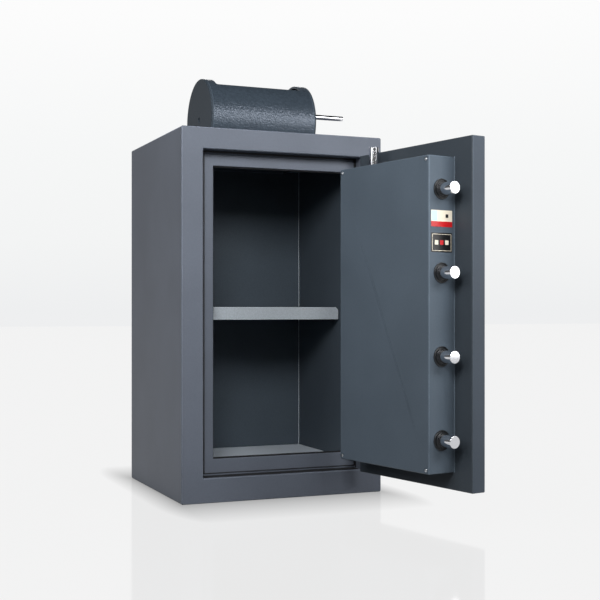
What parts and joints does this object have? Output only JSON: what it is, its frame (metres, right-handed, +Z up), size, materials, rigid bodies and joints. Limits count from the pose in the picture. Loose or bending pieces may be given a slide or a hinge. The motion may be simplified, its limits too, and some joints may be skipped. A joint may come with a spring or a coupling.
{
  "type": "drop safe with rotary deposit hopper",
  "caption": "Upright steel safe with a hinged bolted door, one inner shelf and a crank-turned deposit drum on its roof.",
  "frame": {"origin": "centre of the flat underside that the safe stands on", "axes": "+Z up, -Y towards the front with the door, +X to the right seen from the front"},
  "size_m": [0.562, 0.9471, 1.079],
  "materials": {
    "body_paint": "fine textured grey-blue enamel",
    "door_paint": "fine textured slate enamel",
    "liner_paint": "satin dark enamel",
    "shelf_paint": "light grey fleck enamel",
    "hopper_paint": "hammered slate enamel",
    "chrome": "polished",
    "plain_steel": "as machined",
    "black_ring": "satin black",
    "seal_rubber": "matt black",
    "bronze": "turned",
    "fill": "cast fire-resistant fill",
    "label_cream": "plain vinyl label",
    "label_red": "plain vinyl label",
    "label_blue": "plain vinyl label",
    "label_black": "plain vinyl label",
    "mark_white": "filled dial marks"
  },
  "bodies": {
    "body": {"outer_shell": "body_paint", "front_frame": "body_paint", "door_seal": "seal_rubber", "jamb_frame": "body_paint", "inner_liner": "liner_paint", "wall_fill": "fill", "shelf": "shelf_paint", "shelf_rail_left": "liner_paint", "shelf_rail_right": "liner_paint", "drop_chute": "liner_paint", "hopper_housing": "hopper_paint", "hopper_end_left": "hopper_paint", "hopper_end_right": "hopper_paint", "drum_bearing_left": "bronze", "drum_bearing_right": "bronze", "drum_stop_block": "plain_steel", "hinge_body_leaf_lower": "body_paint", "hinge_body_leaf_upper": "body_paint", "hinge_pin_lower": "plain_steel", "hinge_pin_upper": "plain_steel"},
    "deposit_drum": {"drum": "hopper_paint", "drum_axle_left": "plain_steel", "drum_axle_right": "plain_steel", "drum_stop_pin": "plain_steel", "crank_arm": "hopper_paint", "crank_grip": "chrome"},
    "door": {"hinge_door_leaf_lower": "door_paint", "hinge_door_leaf_upper": "door_paint", "door_pan": "door_paint", "door_core": "fill", "door_inner_sheet": "door_paint", "bolt_box": "door_paint", "box_cover": "door_paint", "cover_screw_1": "plain_steel", "cover_screw_2": "plain_steel", "cover_screw_3": "plain_steel", "cover_screw_4": "plain_steel", "bolt_guide_1": "black_ring", "bolt_guide_2": "black_ring", "bolt_guide_3": "black_ring", "bolt_guide_4": "black_ring", "top_bolt_guide": "black_ring", "spindle_bush": "bronze", "dial_ring": "plain_steel", "hard_plate": "plain_steel", "lock_case": "bronze"},
    "boltwork": {"side_bolt_1": "chrome", "side_bolt_2": "chrome", "side_bolt_3": "chrome", "side_bolt_4": "chrome", "bolt_bar": "plain_steel"},
    "top_boltwork": {"top_bolt": "chrome", "top_bolt_bar": "plain_steel"},
    "handle_train": {"handle": "chrome", "handle_spindle": "plain_steel", "handle_pinion": "plain_steel"},
    "dial_set": {"dial": "black_ring", "dial_spindle": "plain_steel"},
    "lock_bolt_set": {"lock_bolt": "plain_steel"}
  },
  "joints": [
    {"name": "door_swing", "type": "hinge", "parent": "body", "child": "door", "pos_m": [0.2348, -0.2606, 0.46], "axis": [0, 0, 1], "range_deg": [-100.5, 0]},
    {"name": "bolt_throw", "type": "slide", "parent": "door", "child": "boltwork", "axis": [0.1822, -0.9833, 0], "range_m": [-0.04705, 0]},
    {"name": "top_bolt_throw", "type": "slide", "parent": "door", "child": "top_boltwork", "axis": [0, 0, 1], "range_m": [-0.05097, 0]},
    {"name": "handle_turn", "type": "hinge", "parent": "door", "child": "handle_train", "pos_m": [0.25617, -0.49442, 0.45905], "axis": [-0.9833, -0.1822, 0], "range_deg": [0, 89.9]},
    {"name": "dial_spin", "type": "hinge", "parent": "door", "child": "dial_set", "pos_m": [0.25617, -0.49442, 0.57905], "axis": [0.9833, 0.1822, 0], "continuous": true},
    {"name": "lock_bolt_throw", "type": "slide", "parent": "door", "child": "lock_bolt_set", "axis": [0, 0, -1], "range_m": [0, 0.009]},
    {"name": "drum_turn", "type": "hinge", "parent": "body", "child": "deposit_drum", "pos_m": [0, 0.005, 0.971], "axis": [-1, 0, 0], "range_deg": [0, 180]}
  ],
  "couplings": [
    {"joint": "bolt_throw", "follows": "door_swing", "m_per_rad": 0.026795},
    {"joint": "top_bolt_throw", "follows": "door_swing", "m_per_rad": 0.029028},
    {"joint": "handle_turn", "follows": "door_swing", "ratio": -0.89317}
  ]
}
